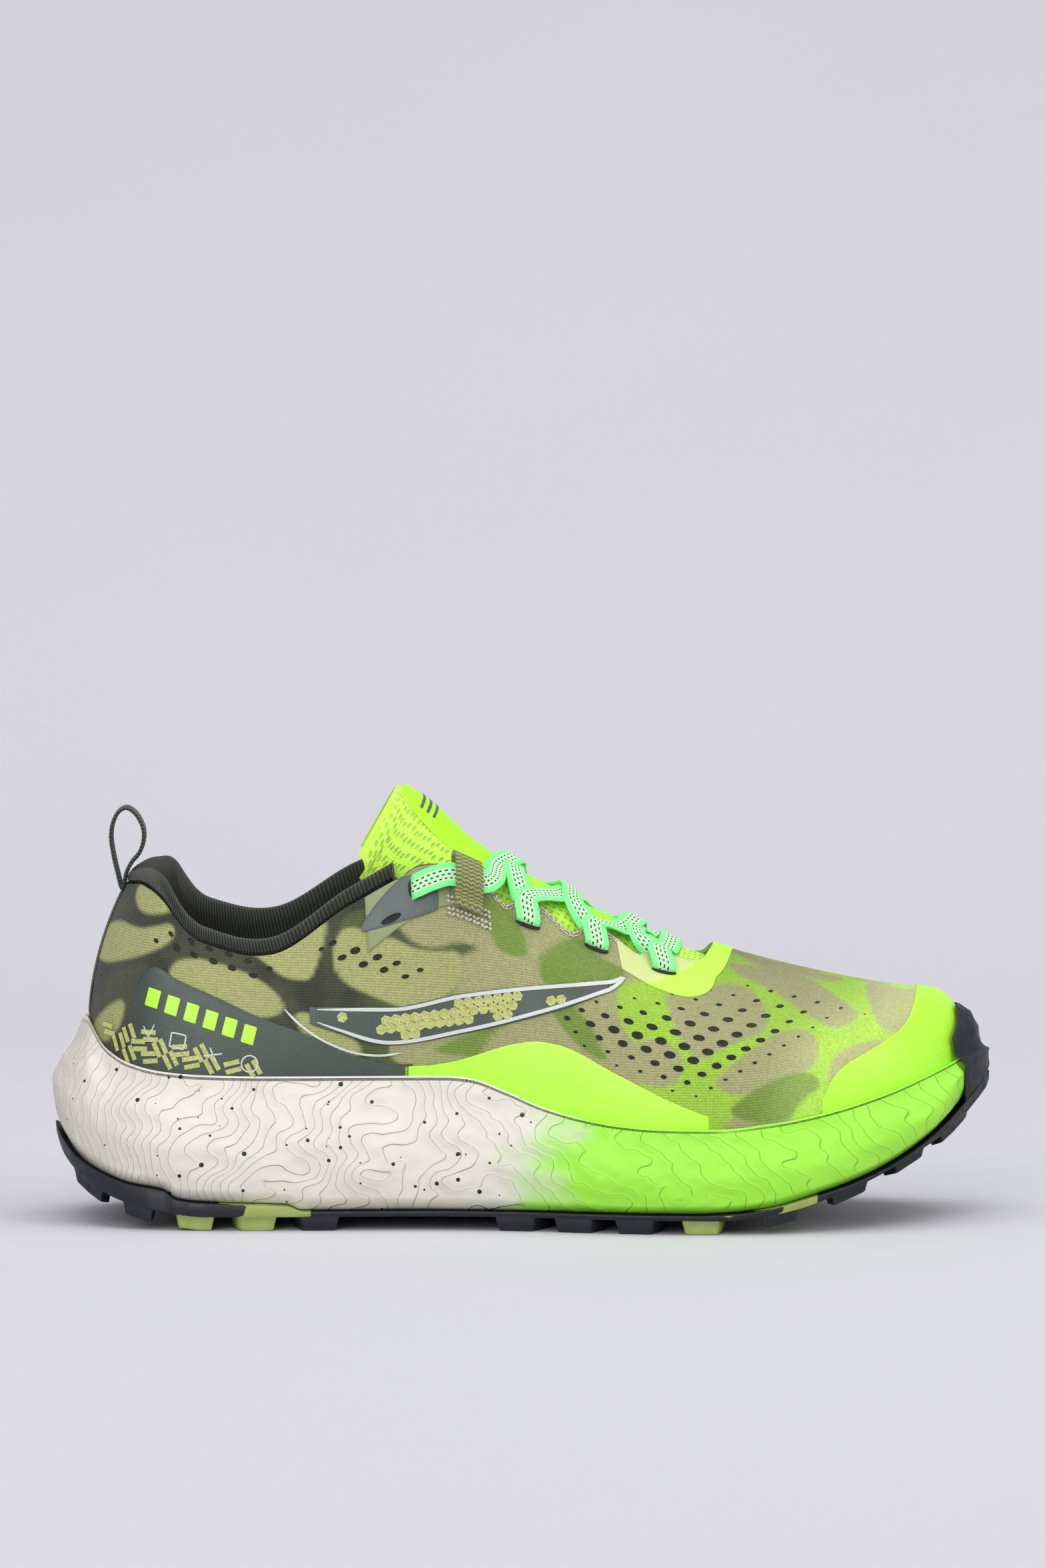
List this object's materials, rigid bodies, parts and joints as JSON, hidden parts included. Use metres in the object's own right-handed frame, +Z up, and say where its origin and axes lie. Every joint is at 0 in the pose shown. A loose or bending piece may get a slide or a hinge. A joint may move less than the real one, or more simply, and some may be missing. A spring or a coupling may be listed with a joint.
{
  "type": "trail running shoe",
  "caption": "Low-cut trail running shoe for the right foot with a cushioned sole, lugged rubber outsole, patterned knit upper, padded collar and tongue, flat laces and a heel pull loop.",
  "frame": {"origin": "on the ground under the middle of the shoe's bounding box, free lace tails left out", "axes": "+X from heel to toe, +Y toward the inner side of the foot, +Z up"},
  "size_m": [0.3028, 0.1116, 0.1404],
  "materials": {
    "foam": "moulded foam, speckled bone white fading to lime",
    "rubber": "matte moulded rubber",
    "knit": "patterned jacquard knit",
    "lining_knit": "ribbed dark olive knit",
    "board": "fibre board",
    "insole_foam": "cloth-faced moulded foam",
    "lime_film": "welded thin film",
    "dark_film": "welded thin film",
    "tongue_mesh": "open neon mesh",
    "lace": "flat woven lace",
    "webbing": "woven tape",
    "keeper_webbing": "woven tape",
    "aglet": "clear-coated sleeve"
  },
  "bodies": {
    "shoe": {"midsole": "foam", "outsole": "rubber", "upper_knit": "knit", "collar_lining": "lining_knit", "heel_counter": "board", "lasting_board": "board", "insole": "insole_foam", "toe_cap_film": "lime_film", "mudguard_film_lateral": "lime_film", "heel_film_lateral": "dark_film", "side_blade_lateral": "dark_film", "mudguard_film_medial": "lime_film", "heel_film_medial": "dark_film", "side_blade_medial": "dark_film", "eyestay_patch_lateral": "dark_film", "eyestay_patch_medial": "dark_film", "throat_patch": "lime_film", "heel_seam_tape": "webbing", "lace": "lace", "lace_keeper_lateral": "keeper_webbing", "lace_tail_lateral": "lace", "aglet_lateral": "aglet", "lace_keeper_medial": "keeper_webbing", "lace_tail_medial": "lace", "aglet_medial": "aglet"},
    "tongue": {"tongue_body": "tongue_mesh", "tongue_lining": "lining_knit", "tongue_face": "lime_film"},
    "pull_loop": {"heel_pull_loop": "webbing"}
  },
  "joints": [
    {"name": "tongue_tilt", "type": "hinge", "parent": "shoe", "child": "tongue", "pos_m": [0.066, 0, 0.08], "axis": [0, 1, 0], "range_deg": [-5, 0], "stiffness_Nm_per_rad": 0.8},
    {"name": "pull_loop_tilt", "type": "hinge", "parent": "shoe", "child": "pull_loop", "pos_m": [-0.1287, 0, 0.1035], "axis": [0, 1, 0], "range_deg": [-40, 0], "stiffness_Nm_per_rad": 0.02}
  ]
}
